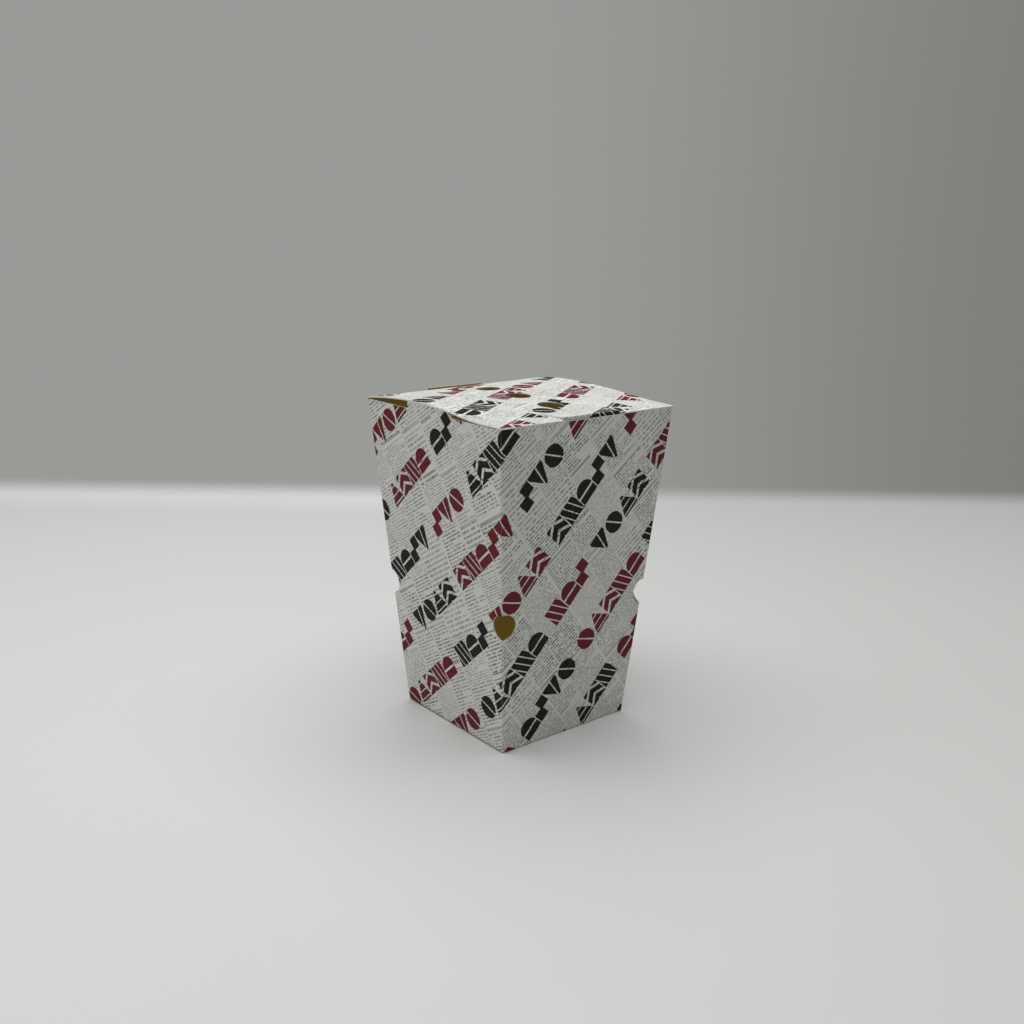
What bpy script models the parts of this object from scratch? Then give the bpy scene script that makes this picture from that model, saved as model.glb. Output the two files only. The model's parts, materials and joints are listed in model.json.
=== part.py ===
"""Hinged chip box: a tapered square carton of kraft-backed board, with a lid on its back rim.

Metres, +Z up. The origin is on the table, under the middle of the base. The front wall, behind
which the lid tucks, faces -Y; the hinge wall is at +Y; the two side walls face -X and +X.
The walls lean outwards by the same amount, so the carton widens from its base to its rim.
The lid is propped up by a low tab on each side wall, which bows it into an arch. The arch sags a
little in its middle, and its side edges droop from the tabs to the front. Steam leaves by the
gaps beside the tabs, by three holes in the lid and by a hole in each corner fold.
"""

import math

import bmesh
import bpy
from mathutils import Matrix, Vector

# Carton, outside sizes
BASE_WIDTH = 0.0745
RIM_WIDTH = 0.0997
HEIGHT = 0.150
BOARD = 0.0005
FLOOR = 2 * BOARD               # the base flaps lie two deep
CORNER_RADIUS = 0.0009          # outside of a folded corner
BASE_RADIUS = 0.0009            # outside of the fold between a wall and the base
FOLD_STEPS = 4
CLEARANCE = 0.0003              # between the lid and what carries it

# Tabs in the middle third of the side and hinge rims, and the tuck flap of the same width
TAB_WIDTH = 0.0325
HINGE_TAB_RISE = 0.0020
TAB_STEPS = 4

# Vents
VENT_DIAMETER = 0.012
VENT_HEIGHTS = (0.0622, 0.0618, 0.0615, 0.0627)     # of the corner vents, from the front right round
LID_VENT_PITCH = 0.0225
VENT_SIDES = 32
CUTTER_DEPTH = 0.003

# Lid: height of its arch and the place of its crown at the left and right edges
ARCH_LEFT = 0.0032
ARCH_RIGHT = 0.0037
SKEW_LEFT = 0.88
SKEW_RIGHT = 0.60
SAG = 0.0009                    # of the lid's middle between its two propped edges
SAG_SKEW = 1.9                  # moves the sag towards the front
DROOP_LEFT = 0.0013             # of the lid's side edges, between their tabs and the front corners
DROOP_RIGHT = 0.0004
DROOP_SKEW = 3                  # moves the droop towards the front
DROOP_EDGE = 3                  # keeps the droop to the edges
FRONT_LIFT = 0.0010             # of the tuck flap's crease above the front rim
LIFT_SKEW = 4                   # keeps the lift to the front
LIFT_FADE = 0.0025              # width over which the front edge comes down beside the crease
LID_ROWS = 24
SLIT = 0.0003                   # cut between the lid's front lip and the tuck flap
NOTCH_DEPTH = 0.0024            # in the lid's hinge edge, round the hinge tab
FLAP_DEPTH = 0.018
FLAP_LEAN = math.radians(6.5)   # inwards, so that the flap swings clear of the front wall
FLAP_CORNER = 0.006
FLAP_ROWS = 5
CREASE_RADIUS = 0.0004          # inside of the tuck flap's fold

# The lid's crease runs along the middle of the hinge wall's board and of the lid's own
HINGE = Vector((0, (RIM_WIDTH - BOARD) / 2, HEIGHT + CLEARANCE + BOARD / 2))

RIM_HALF = RIM_WIDTH / 2
TAB_HALF = TAB_WIDTH / 2
TAPER = (RIM_WIDTH - BASE_WIDTH) / 2 / HEIGHT
SIDES = ("front", "right", "hinge", "left")     # anticlockwise, seen from above
TAB_PLACES = [2 * step / TAB_STEPS - 1 for step in range(TAB_STEPS + 1)]


def clear_scene():
    for item in list(bpy.data.objects):
        bpy.data.objects.remove(item, do_unlink=True)


def board_material(name, colour, roughness):
    material = bpy.data.materials.new(name)
    material.use_nodes = True
    shader = material.node_tree.nodes["Principled BSDF"]
    shader.inputs["Base Color"].default_value = (*colour, 1.0)
    shader.inputs["Roughness"].default_value = roughness
    shader.inputs["Metallic"].default_value = 0.0
    return material


def add_object(name, bm, material=None, origin=Vector((0, 0, 0))):
    """Turn bm into an object whose origin is at the given point."""
    bmesh.ops.translate(bm, verts=bm.verts, vec=-origin)
    bmesh.ops.recalc_face_normals(bm, faces=bm.faces)
    mesh = bpy.data.meshes.new(name)
    bm.to_mesh(mesh)
    bm.free()
    piece = bpy.data.objects.new(name, mesh)
    piece.location = origin
    bpy.context.scene.collection.objects.link(piece)
    if material:
        mesh.materials.append(material)
    return piece


def cut(piece, cutter):
    """Subtract cutter from piece, and keep the cutter out of the model."""
    cutter.hide_render = True
    cutter.display_type = 'WIRE'
    boolean = piece.modifiers.new(cutter.name, 'BOOLEAN')
    boolean.operation = 'DIFFERENCE'
    boolean.solver = 'EXACT'
    boolean.object = cutter


def vent_cutter(name, centre, direction):
    """A short round punch through the board at centre."""
    bm = bmesh.new()
    bmesh.ops.create_cone(bm, cap_ends=True, segments=VENT_SIDES, radius1=VENT_DIAMETER / 2,
                          radius2=VENT_DIAMETER / 2, depth=CUTTER_DEPTH)
    turn = Vector((0, 0, 1)).rotation_difference(direction).to_matrix().to_4x4()
    bmesh.ops.transform(bm, matrix=Matrix.Translation(centre) @ turn, verts=bm.verts)
    return add_object(name, bm)


# ---------------------------------------------------------------- carton

def half_width(z):
    """Outside half width of the carton at height z."""
    return BASE_WIDTH / 2 + TAPER * z


def turned(point, side):
    """Turn a point of the front wall to the same place on another wall."""
    return Matrix.Rotation(math.radians(90) * side, 3, 'Z') @ point


def ring(z, inset):
    """Points round the walls at height z: on each side those of its tab, then a corner."""
    half = half_width(z) - inset
    radius = max(CORNER_RADIUS - inset, BOARD)
    centre = half - radius
    points = []
    for side in range(len(SIDES)):
        points += [turned(Vector((place * TAB_HALF, -half, z)), side) for place in TAB_PLACES]
        for step in range(FOLD_STEPS + 1):
            angle = math.radians(90) * (step / FOLD_STEPS - 1)
            corner = Vector((centre + radius * math.cos(angle), -centre + radius * math.sin(angle), z))
            points.append(turned(corner, side))
    return points


def tab_top(side, place):
    """Height of a tab's top at a place from -1 to 1 along it. The side tabs follow the lid."""
    if side == "hinge":
        return HEIGHT + HINGE_TAB_RISE
    if side == "left":
        return lid_underside(-RIM_HALF, -place * TAB_HALF) - CLEARANCE
    return lid_underside(RIM_HALF, place * TAB_HALF) - CLEARANCE


def tab_tops(bm, side, inset):
    """The points along a tab's top, on its outer face or set in from it."""
    heights = [(place, tab_top(SIDES[side], place)) for place in TAB_PLACES]
    return [bm.verts.new(turned(Vector((place * TAB_HALF, -half_width(z) + inset, z)), side))
            for place, z in heights]


def band(bm, lower, upper):
    """Close the strip between two rings of the same number of vertices."""
    count = len(lower)
    for i in range(count):
        j = (i + 1) % count
        bm.faces.new((lower[i], lower[j], upper[j], upper[i]))


def close_rim(bm, rim_out, rim_in):
    """Close the board's edge round the rim, with a tab on each wall but the front one."""
    per_side = len(rim_out) // len(SIDES)
    for i in range(len(rim_out)):
        j = (i + 1) % len(rim_out)
        side, place = divmod(i, per_side)
        if place >= TAB_STEPS or SIDES[side] == "front":
            bm.faces.new((rim_out[i], rim_out[j], rim_in[j], rim_in[i]))
    for side in range(1, len(SIDES)):
        first = side * per_side
        feet_out, feet_in = (rim[first:first + TAB_STEPS + 1] for rim in (rim_out, rim_in))
        tops_out, tops_in = tab_tops(bm, side, 0), tab_tops(bm, side, BOARD)
        loops = list(zip(feet_out, tops_out, tops_in, feet_in))
        for start, end in zip(loops, loops[1:]):
            for low, high in ((0, 1), (1, 2), (2, 3)):
                bm.faces.new((start[low], end[low], end[high], start[high]))
        bm.faces.new(loops[0])
        bm.faces.new(loops[-1])


def make_carton(material):
    bm = bmesh.new()
    base_fold = [math.radians(90) * step / FOLD_STEPS for step in range(FOLD_STEPS + 1)]
    outside = [ring(BASE_RADIUS * (1 - math.cos(angle)), BASE_RADIUS * (1 - math.sin(angle)))
               for angle in base_fold] + [ring(HEIGHT, 0)]
    inside = [ring(FLOOR, BOARD), ring(HEIGHT, BOARD)]
    outside = [[bm.verts.new(point) for point in points] for points in outside]
    inside = [[bm.verts.new(point) for point in points] for points in inside]
    for rings in (outside, inside):
        bm.faces.new(rings[0])
        for lower, upper in zip(rings, rings[1:]):
            band(bm, lower, upper)

    close_rim(bm, outside[-1], inside[-1])
    carton = add_object("carton", bm, material)

    for corner, height in enumerate(VENT_HEIGHTS):
        fold = half_width(height)
        centre = turned(Vector((fold, -fold, height)), corner)
        for wall in (0, 1):
            outward = turned(Vector((0, -1, -TAPER)).normalized(), corner + wall)
            cut(carton, vent_cutter(f"corner_vent_{corner}_{wall}", centre, outward))
    return carton


# ---------------------------------------------------------------- lid

def lid_underside(x, y):
    """Height of the lid's underside: an arch from hinge to front, skewed towards the hinge.

    Its middle sags, its side edges droop past their tabs, and the flap's crease stands a little up.
    """
    across = x / RIM_WIDTH + 0.5
    along = min(max((RIM_HALF - y) / RIM_WIDTH, 0), 1)
    rise = ARCH_LEFT + (ARCH_RIGHT - ARCH_LEFT) * across
    skew = SKEW_LEFT + (SKEW_RIGHT - SKEW_LEFT) * across
    fade = min(max(1 - (abs(x) - TAB_HALF) / LIFT_FADE, 0), 1)
    lift = FRONT_LIFT * fade * fade * (3 - 2 * fade) * along ** LIFT_SKEW
    sag = SAG * math.sin(math.pi * along ** SAG_SKEW) * (1 - min(abs(x) / RIM_HALF, 1) ** 2)
    droop = DROOP_LEFT * (1 - across) ** DROOP_EDGE + DROOP_RIGHT * across ** DROOP_EDGE
    droop *= math.sin(math.pi * along ** DROOP_SKEW) ** 2
    return HEIGHT + CLEARANCE + rise * math.sin(math.pi * along ** skew) + lift - sag - droop


def lid_columns():
    """Places across the lid, each half from the middle out, with the slit's two sides among them."""
    inner = [TAB_HALF * step / 3 for step in range(1, 4)]
    outer_start = TAB_HALF + SLIT
    outer = [outer_start + (RIM_HALF - outer_start) * step / 6 for step in range(7)]
    half = inner + outer
    return [-x for x in reversed(half)] + [0.0] + half


def lid_lines():
    """The lid's lines from hinge to flap tip, as functions of x that give a point on the underside.

    Each comes with the part of the width that it spans: all of it, the two lips or the middle.
    """
    crease = -RIM_HALF + BOARD + CLEARANCE + BOARD      # inner face of the flap at its fold
    fold_start = crease + CREASE_RADIUS
    notch_end = RIM_HALF - NOTCH_DEPTH
    step = (notch_end - fold_start) / LID_ROWS
    panel = [RIM_HALF] + [notch_end - step * row for row in range(LID_ROWS + 1)]
    lines = [("all", lambda x, y=y: Vector((x, y, lid_underside(x, y)))) for y in panel]
    lines.append(("lips", lambda x: Vector((x, -RIM_HALF, lid_underside(x, -RIM_HALF)))))

    def on_fold(x, angle):
        centre = Vector((x, fold_start, lid_underside(x, fold_start) - CREASE_RADIUS))
        return centre + CREASE_RADIUS * Vector((0, -math.sin(angle), math.cos(angle)))

    turn = math.radians(90) + FLAP_LEAN
    for number in range(1, FOLD_STEPS + 1):
        angle = turn * number / FOLD_STEPS
        lines.append(("middle", lambda x, angle=angle: on_fold(x, angle)))
    down = Vector((0, math.sin(FLAP_LEAN), -math.cos(FLAP_LEAN)))
    straight = FLAP_DEPTH - FLAP_CORNER
    depths = [straight] + [straight + FLAP_CORNER * math.sin(math.radians(90) * row / FLAP_ROWS)
                           for row in range(1, FLAP_ROWS + 1)]
    for depth in depths:
        rounding = (depth - straight) / FLAP_CORNER
        width = 1 - FLAP_CORNER / TAB_HALF * (1 - math.sqrt(max(1 - rounding ** 2, 0)))
        lines.append(("middle", lambda x, depth=depth, width=width:
                      on_fold(x * width, turn) + down * depth))
    return lines


def spans(zone, left, right):
    """Whether a line of this zone has board between two neighbouring columns."""
    middle = max(abs(left), abs(right)) <= TAB_HALF
    lips = min(abs(left), abs(right)) > TAB_HALF
    return zone == "all" or (zone == "middle" and middle) or (zone == "lips" and lips)


def make_lid(material):
    columns = lid_columns()
    lines = lid_lines()
    panel_rows = sum(zone == "all" for zone, _ in lines)
    strips = [(row, row + 1) for row in range(panel_rows - 1)]
    strips.append((panel_rows - 1, panel_rows))             # the panel's end to its front lips
    strips.append((panel_rows - 1, panel_rows + 1))         # the panel's end to the tuck flap
    strips += [(row, row + 1) for row in range(panel_rows + 1, len(lines) - 1)]

    bm = bmesh.new()
    grid = {}
    for strip_start, strip_end in strips:
        for column in range(len(columns) - 1):
            left, right = columns[column], columns[column + 1]
            notch = strip_start == 0 and min(abs(left), abs(right)) < TAB_HALF + SLIT
            if notch or not spans(lines[strip_end][0], left, right):
                continue
            keys = [(strip_start, column), (strip_start, column + 1),
                    (strip_end, column + 1), (strip_end, column)]
            for row, place in keys:
                if (row, place) not in grid:
                    grid[row, place] = bm.verts.new(lines[row][1](columns[place]))
            bm.faces.new([grid[key] for key in keys])
    thicken(bm, BOARD)
    lid = add_object("lid", bm, material, origin=HINGE)

    for number in (-1, 0, 1):
        y = LID_VENT_PITCH * number
        centre = Vector((0, y, lid_underside(0, y)))
        cut(lid, vent_cutter(f"lid_vent_{number + 1}", centre, Vector((0, 0, 1))))
    return lid


def thicken(bm, thickness):
    """Give a sheet its thickness outwards, so that its own faces stay as the underside."""
    bmesh.ops.recalc_face_normals(bm, faces=bm.faces)
    bm.normal_update()
    highest = max(bm.faces, key=lambda face: face.calc_center_median().z)
    if highest.normal.z < 0:
        bmesh.ops.reverse_faces(bm, faces=bm.faces)
    bm.normal_update()
    sheet = list(bm.faces)
    outer = {vert: bm.verts.new(vert.co + vert.normal * thickness * vert.calc_shell_factor())
             for vert in list(bm.verts)}
    for edge in [edge for edge in bm.edges if edge.is_boundary]:
        start, end = edge.verts
        bm.faces.new((start, end, outer[end], outer[start]))
    for face in sheet:
        bm.faces.new([outer[vert] for vert in face.verts])


def main():
    clear_scene()
    white_board = board_material("printed_board", (0.70, 0.70, 0.66), 0.55)
    lid_board = board_material("printed_lid_board", (0.70, 0.70, 0.66), 0.55)
    make_carton(white_board)
    make_lid(lid_board)


main()
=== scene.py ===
# %% [markdown]
# # A hinged chip box, folded from one printed sheet
# The real box is one sheet of thin board. It is printed on its white side, its outline and its
# round vents are punched, and then it is folded: four leaning walls, a base of two pairs of flaps,
# and a lid on the hinge wall whose tuck flap goes in behind the front wall. The looks are made in
# the same order here: a flat sheet is cut first and folded afterwards. That way the print keeps
# its flat coordinates, and runs on round every fold as it does on the real board.

# %% The frame, and what the carton was built from
import json
import math

import bmesh
import bpy
from mathutils import Matrix, Vector


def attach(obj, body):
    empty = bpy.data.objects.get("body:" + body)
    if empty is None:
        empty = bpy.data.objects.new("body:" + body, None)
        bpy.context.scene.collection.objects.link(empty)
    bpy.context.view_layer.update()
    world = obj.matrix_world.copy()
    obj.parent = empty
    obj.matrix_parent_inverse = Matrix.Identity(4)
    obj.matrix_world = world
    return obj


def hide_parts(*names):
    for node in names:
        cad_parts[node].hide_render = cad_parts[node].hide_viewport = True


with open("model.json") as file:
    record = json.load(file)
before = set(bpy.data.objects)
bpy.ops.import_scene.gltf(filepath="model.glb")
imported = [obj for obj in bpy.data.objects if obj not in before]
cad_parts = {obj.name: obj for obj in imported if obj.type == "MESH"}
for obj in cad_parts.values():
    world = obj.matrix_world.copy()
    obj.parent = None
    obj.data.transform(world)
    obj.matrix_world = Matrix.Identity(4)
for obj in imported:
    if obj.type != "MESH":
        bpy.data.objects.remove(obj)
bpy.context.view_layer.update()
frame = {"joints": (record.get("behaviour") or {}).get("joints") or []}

MM = 0.001
BASE_WIDTH = 74.5 * MM
RIM_WIDTH = 99.7 * MM
HEIGHT = 150 * MM
BOARD = 0.5 * MM
CLEARANCE = 0.3 * MM
TAB_WIDTH = 32.5 * MM
HINGE_TAB_RISE = 2.0 * MM
VENT_DIAMETER = 12 * MM
LID_VENT_PITCH = 22.5 * MM
HINGE = Vector(frame["joints"][0]["pos_m"])

QUARTER_TURN = math.radians(90)
RIM_HALF = RIM_WIDTH / 2
TAB_HALF = TAB_WIDTH / 2
print("hinge axis", [round(place / MM, 2) for place in HINGE], "mm")

# %% [markdown]
# ## The flat sheet
# A box whose walls lean outwards unfolds into a fan. Each wall is a trapezoid, and the four of
# them turn round one far point, the apex, where the walls would meet if they went on downwards.
# Only three numbers are needed to go between the fan and the box: how long a wall is up its
# slope, how far below it the apex lies, and the angle that one wall takes up.

# %% The fan
SLANT = math.hypot(HEIGHT, (RIM_WIDTH - BASE_WIDTH) / 2)
STEEPNESS = HEIGHT / SLANT
SPREAD = (RIM_WIDTH - BASE_WIDTH) / 2 / SLANT
APEX = BASE_WIDTH / 2 / SPREAD
FAN = 2 * math.atan(SPREAD)
WALLS = {"hinge": -2, "left": -1, "front": 0, "right": 1}
print("walls", round(SLANT / MM, 2), "mm up the slope,", round(math.degrees(FAN), 2), "degrees")


def fan_point(wall, s, t):
    """Flat place of a point s to the right of a wall's middle and t up its slope."""
    return Matrix.Rotation(-FAN * wall, 2) @ Vector((s, APEX + t))


# %% [markdown]
# ## Sums that become nodes
# The fold and the print are both formulas, and in Blender a formula is a chain of Math nodes.
# Placing those by hand is slow and hard to read back. A small class that stands for a number in
# a node tree lets the formulas be written as plain sums: each sign adds the node that does it.

# %% A number in a node tree
def sum_with(operation):
    """A method that adds a Math node of this kind."""
    return lambda self, *others: self.math(operation, *others)


class Term:
    def __init__(self, tree, socket):
        self.tree = tree
        self.socket = socket

    def math(self, operation, *others):
        node = self.tree.nodes.new("ShaderNodeMath")
        node.operation = operation
        for socket, value in zip(node.inputs, (self, *others)):
            feed(socket, value)
        return Term(self.tree, node.outputs[0])

    __add__ = __radd__ = sum_with('ADD')
    __sub__ = sum_with('SUBTRACT')
    __mul__ = __rmul__ = sum_with('MULTIPLY')
    __truediv__ = sum_with('DIVIDE')
    __pow__ = sum_with('POWER')
    __gt__ = sum_with('GREATER_THAN')
    __lt__ = sum_with('LESS_THAN')
    __abs__ = sum_with('ABSOLUTE')
    floor = sum_with('FLOOR')
    modulo = sum_with('FLOORED_MODULO')
    sin = sum_with('SINE')
    cos = sum_with('COSINE')

    def __rsub__(self, other):
        return self * -1 + other

    def clamp(self, low=0.0, high=1.0):
        return self.math('MAXIMUM', low).math('MINIMUM', high)


def feed(socket, value):
    """Link a value from the tree into a socket, or set the socket to a plain number."""
    if isinstance(value, Term):
        value.tree.links.new(value.socket, socket)
    else:
        socket.default_value = value


def sine(value):
    return value.sin() if isinstance(value, Term) else math.sin(value)


def limit(value, low, high):
    return value.clamp(low, high) if isinstance(value, Term) else min(max(value, low), high)


# %% Joining nodes
def add_node(tree, kind, settings=None, **inputs):
    """Add a node. Settings are its own choices; the other names are its inputs."""
    node = tree.nodes.new(kind)
    for name, value in (settings or {}).items():
        setattr(node, name, value)
    for name, value in inputs.items():
        wanted = name.replace("_", " ")
        sockets = [socket for socket in node.inputs if socket.name == wanted and socket.enabled]
        feed(sockets[0], value)
    return node


def out(node, name=None):
    """The output of a node as a Term: the named one, or its first that is in use."""
    sockets = [socket for socket in node.outputs if socket.enabled and name in (None, socket.name)]
    return Term(node.id_data, sockets[0])


def split(tree, vector):
    parts = add_node(tree, "ShaderNodeSeparateXYZ", Vector=vector)
    return [Term(tree, socket) for socket in parts.outputs]


def join(tree, x=0.0, y=0.0, z=0.0):
    return out(add_node(tree, "ShaderNodeCombineXYZ", X=x, Y=y, Z=z))


def new_tree(kind, name, inputs, outputs):
    """A node group with named inputs and outputs: a name, a type and, for an input, a default."""
    tree = bpy.data.node_groups.new(name, kind)
    for label, socket_type, *default in inputs:
        item = tree.interface.new_socket(label, in_out='INPUT',
                                         socket_type="NodeSocket" + socket_type)
        if default:
            item.default_value = default[0]
    for label, socket_type in outputs:
        tree.interface.new_socket(label, in_out='OUTPUT', socket_type="NodeSocket" + socket_type)
    start = tree.nodes.new("NodeGroupInput")
    end = tree.nodes.new("NodeGroupOutput")
    given = {socket.name: Term(tree, socket) for socket in start.outputs if socket.name}
    return tree, given, end


def place_group(tree, group, **inputs):
    kind = "ShaderNodeGroup" if tree.type == 'SHADER' else "GeometryNodeGroup"
    return add_node(tree, kind, {"node_tree": group}, **inputs)


def object_place(tree):
    return out(add_node(tree, "ShaderNodeTexCoord"), "Object")


def noise(tree, place, scale, detail, **more):
    return out(add_node(tree, "ShaderNodeTexNoise", Vector=place, Scale=scale, Detail=detail,
                        **more))


def read_attribute(tree, name):
    return out(add_node(tree, "GeometryNodeInputNamedAttribute", {"data_type": 'FLOAT'},
                        Name=name), "Attribute")


def store_attribute(tree, geometry, name, value, data_type, domain):
    return out(add_node(tree, "GeometryNodeStoreNamedAttribute",
                        {"data_type": data_type, "domain": domain}, Geometry=geometry,
                        Name=name, Value=value))


# %% [markdown]
# ## Paper fibres
# Board is pressed fibre. Its white side is smooth with a faint mottle, and its brown side shows
# the fibres themselves as short streaks. Every surface of the box is board, so the grain is a
# group of nodes made once and placed in each finish with its own scale: one output tints the
# colour, the other is a height for the bump.

# %% Group: board grain
def make_grain_group():
    tree, given, end = new_tree("ShaderNodeTree", "board grain",
                                [("Streak scale", "Float", 900.0),
                                 ("Mottle scale", "Float", 140.0)],
                                [("Tone", "Float"), ("Height", "Float")])
    place = object_place(tree)
    stretched = out(add_node(tree, "ShaderNodeMapping", Vector=place, Scale=(1.0, 1.0, 0.22),
                             Rotation=(0.35, 0.5, 0.2)))
    streaks = noise(tree, stretched, given["Streak scale"], 3.0, Roughness=0.6)
    mottle = noise(tree, place, given["Mottle scale"], 4.0, Roughness=0.55)
    feed(end.inputs["Tone"], (streaks * 0.5 + mottle * 0.5 - 0.5) * 2)
    feed(end.inputs["Height"], streaks * 0.6 + mottle * 0.4)
    return tree


board_grain = make_grain_group()
print("group", board_grain.name, "with", len(board_grain.nodes), "nodes")

# %% [markdown]
# ## The bold print
# Rows of chunky shapes climb across the sheet at about fifty degrees, in runs of five, three and
# four that change between dark red and black. The row, the run and the place in the run are found
# by dividing the flat coordinates, and then one of seven plain shapes is drawn in the cell. Each
# shape is one sum that is above zero inside it, so its edge is where the sum passes zero.

# %% Sizes of the bold print, in mm
ROW_ANGLE = math.radians(50.5)
ROW_PITCH, ROW_SHIFT = 26.6, 57.0
CELL = 10.5
TALL, WIDE = 5.25, 5.0          # half the height and half the width of a shape
RUNS, RUN_GAP = (5, 3, 4), 0.56         # both in cells
KINDS = 7
IN_RUN_STEP, RUN_STEP, ROW_STEP = 3, 2, 5       # mix the kinds, so that neighbours differ
INK_EDGE = 0.07
BLEED, BLEED_SCALE = 0.16, 2500.0
print("rows", ROW_PITCH, "mm apart, in runs of", RUNS, "shapes")

# %% Sizes of the seven shapes, in mm
# A lean or slope is how far sideways for each mm upwards.
DISC_LEAN, DISC_SPLIT = 0.5, 0.4
CHEQUER_JOIN = 0.6
SLAT_LEAN, SLAT_SHIFT, SLAT_PITCH, SLAT_HALF = 0.32, 11.0, 3.4, 1.4
LAYER_SHIFT, LAYER_PITCH, LAYER_GAP = 5.7, 3.6, 0.3
PEAK_SLOPE, PEAK_TIP = 0.5, 0.6
VALLEY_LEAN, VALLEY_SPLIT = 0.2, 0.35
DOME_RADIUS, DOME_FOOT = 5.1, 0.3
SLAB_HALF, SLAB_DOWN = 1.9, 3.25
CHEVRON_SLOPE, CHEVRON_PITCH, CHEVRON_MIDDLE, CHEVRON_HALF = 0.7, 5.3, 2.4, 1.8
print("shapes", 2 * TALL, "mm tall in cells of", CELL, "mm")


# %% The shapes in their cells
def rotated_mm(tree, vector, angle):
    """Flat coordinates in millimetres, along and across a direction."""
    x, y, _ = split(tree, vector)
    along = (x * math.cos(angle) + y * math.sin(angle)) / MM
    across = (y * math.cos(angle) - x * math.sin(angle)) / MM
    return along, across


def length(u, v):
    return (u * u + v * v).math('SQRT')


def both(first, second):
    """Above zero only where both are."""
    return first.math('MINIMUM', second)


def cell_shapes(u, v):
    """Seven plain shapes in a cell, each above zero inside. u and v are from its middle, in mm."""
    inside = both(TALL - abs(v), WIDE - abs(u))
    halves = both(TALL - length(u, v), abs(u + v * DISC_LEAN) - DISC_SPLIT)
    chequer = both(abs(u), abs(v)) * (u * v).math('SIGN') + CHEQUER_JOIN
    slats = SLAT_HALF - abs((u + v * SLAT_LEAN + SLAT_SHIFT).modulo(SLAT_PITCH) - SLAT_PITCH / 2)
    layers = abs((v + LAYER_SHIFT).modulo(LAYER_PITCH) - LAYER_PITCH / 2) - LAYER_GAP
    peak = both((TALL - v) * PEAK_SLOPE + PEAK_TIP - abs(u), layers)
    valley = both((TALL + v) * PEAK_SLOPE + PEAK_TIP - abs(u),
                  abs(u - v * VALLEY_LEAN) - VALLEY_SPLIT)
    dome = both(DOME_RADIUS - length(u, v + DOME_FOOT), v + DOME_FOOT)
    slab = both(SLAB_HALF - abs(v + SLAB_DOWN), WIDE - abs(u))
    chevron = (v + abs(u) * CHEVRON_SLOPE).modulo(CHEVRON_PITCH) - CHEVRON_MIDDLE
    folds = CHEVRON_HALF - abs(chevron)
    return [both(each, inside) for each in
            (halves, chequer, slats, peak, valley, dome.math('MAXIMUM', slab), folds)]


# %% Group: bold print
def make_print_group():
    tree, given, end = new_tree("ShaderNodeTree", "bold print",
                                [("Flat place", "Vector")],
                                [("Red", "Float"), ("Black", "Float")])
    along, across = rotated_mm(tree, given["Flat place"], ROW_ANGLE)
    row = (across / ROW_PITCH).floor()
    v = (across / ROW_PITCH - row - 0.5) * ROW_PITCH
    cells = (along + row * ROW_SHIFT) / CELL
    period = sum(RUNS) + len(RUNS) * RUN_GAP
    turn = (cells / period).floor()
    spot = cells - turn * period
    second = spot > RUNS[0] + RUN_GAP
    third = spot > RUNS[0] + RUNS[1] + 2 * RUN_GAP
    in_run = spot - second * (RUNS[0] + RUN_GAP) - third * (RUNS[1] + RUN_GAP)
    run_length = RUNS[0] + second * (RUNS[1] - RUNS[0]) + third * (RUNS[2] - RUNS[1])
    number = in_run.floor()
    u = (in_run - number - 0.5) * CELL
    run = turn * len(RUNS) + second + third + row
    kind = (number * IN_RUN_STEP + run * RUN_STEP + row * ROW_STEP).modulo(KINDS)

    shape = None
    for index, candidate in enumerate(cell_shapes(u, v)):
        chosen = candidate * (abs(kind - index) < 0.5)
        shape = chosen if shape is None else shape + chosen
    bleed = noise(tree, given["Flat place"], BLEED_SCALE, 2.0) * BLEED - BLEED / 2
    ink = ((shape + bleed) / INK_EDGE + 0.5).clamp() * (in_run < run_length)
    red = run.modulo(2) < 0.5
    feed(end.inputs["Red"], ink * red)
    feed(end.inputs["Black"], ink * (1 - red))
    return tree


bold_print = make_print_group()
print("group", bold_print.name, "with", len(bold_print.nodes), "nodes")

# %% [markdown]
# ## The fine grey print
# Under the bold shapes the sheet is covered in fine grey lines, set in columns like a page of
# small type, about twelve degrees flatter than the rows. Nothing is spelled out: each line is a
# string of plain ticks. A white-noise value for each column, patch, line and tick decides where
# lines end, which patches are set closer, wider or darker, and where a thin rule divides them.

# %% Sizes of the fine print, in mm
LINE_ANGLE = math.radians(38.7)
COLUMN, GUTTER = 17.5, 0.55
SWAY, SWAY_LENGTH = 1.9, 9.1    # makes some columns wider than others
COLUMN_DROP = 41                # how far down a column may start
LINE_PITCH = 1.55
PATCH = 23.0
HEADING_TALL = 3.2
TICK, JOINT = 0.52, 0.25        # a tick's length, and the share of it that is faint
STROKE, STROKE_SPREAD, STROKE_EDGE = 0.25, 0.12, 8      # parts of a line's pitch
RULE_ACROSS, RULE_DOWN = 0.22, 0.2
print("fine lines", LINE_PITCH, "mm apart in columns of", COLUMN, "mm")

# %% How the patches differ
# Each patch has a number from 0 to 1. It is set wider or closer, darker or fainter, and gets a
# heading or a rule, by where that number lies.
HEADING_FROM, RULE_FROM = 0.62, 0.40
WIDER_AT, WIDER_SPAN, WIDER_BY = 0.5, 0.07, 0.45
CLOSER_BELOW, CLOSER_BY = 0.34, 0.25
STRENGTH, STRENGTH_SPREAD = 0.50, 0.12
DARKER_ABOVE, DARKER_BY = 0.80, 0.12
FAINTER_BELOW, FAINTER_BY = 0.05, 0.15
WORD_GAPS, COLUMN_RULES = 0.20, 0.55
SHORTEST_LINE, LINE_SPREAD = 0.35, 3
LIGHTEST, WEIGHT_SPREAD = 0.72, 0.56
CLOUD_SCALE, CLOUD_SPREAD, CLOUD_LEAST = 60.0, 1.5, 0.2
JOINT_FAINTNESS, RULE_STRENGTH = 0.65, 0.35
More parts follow.
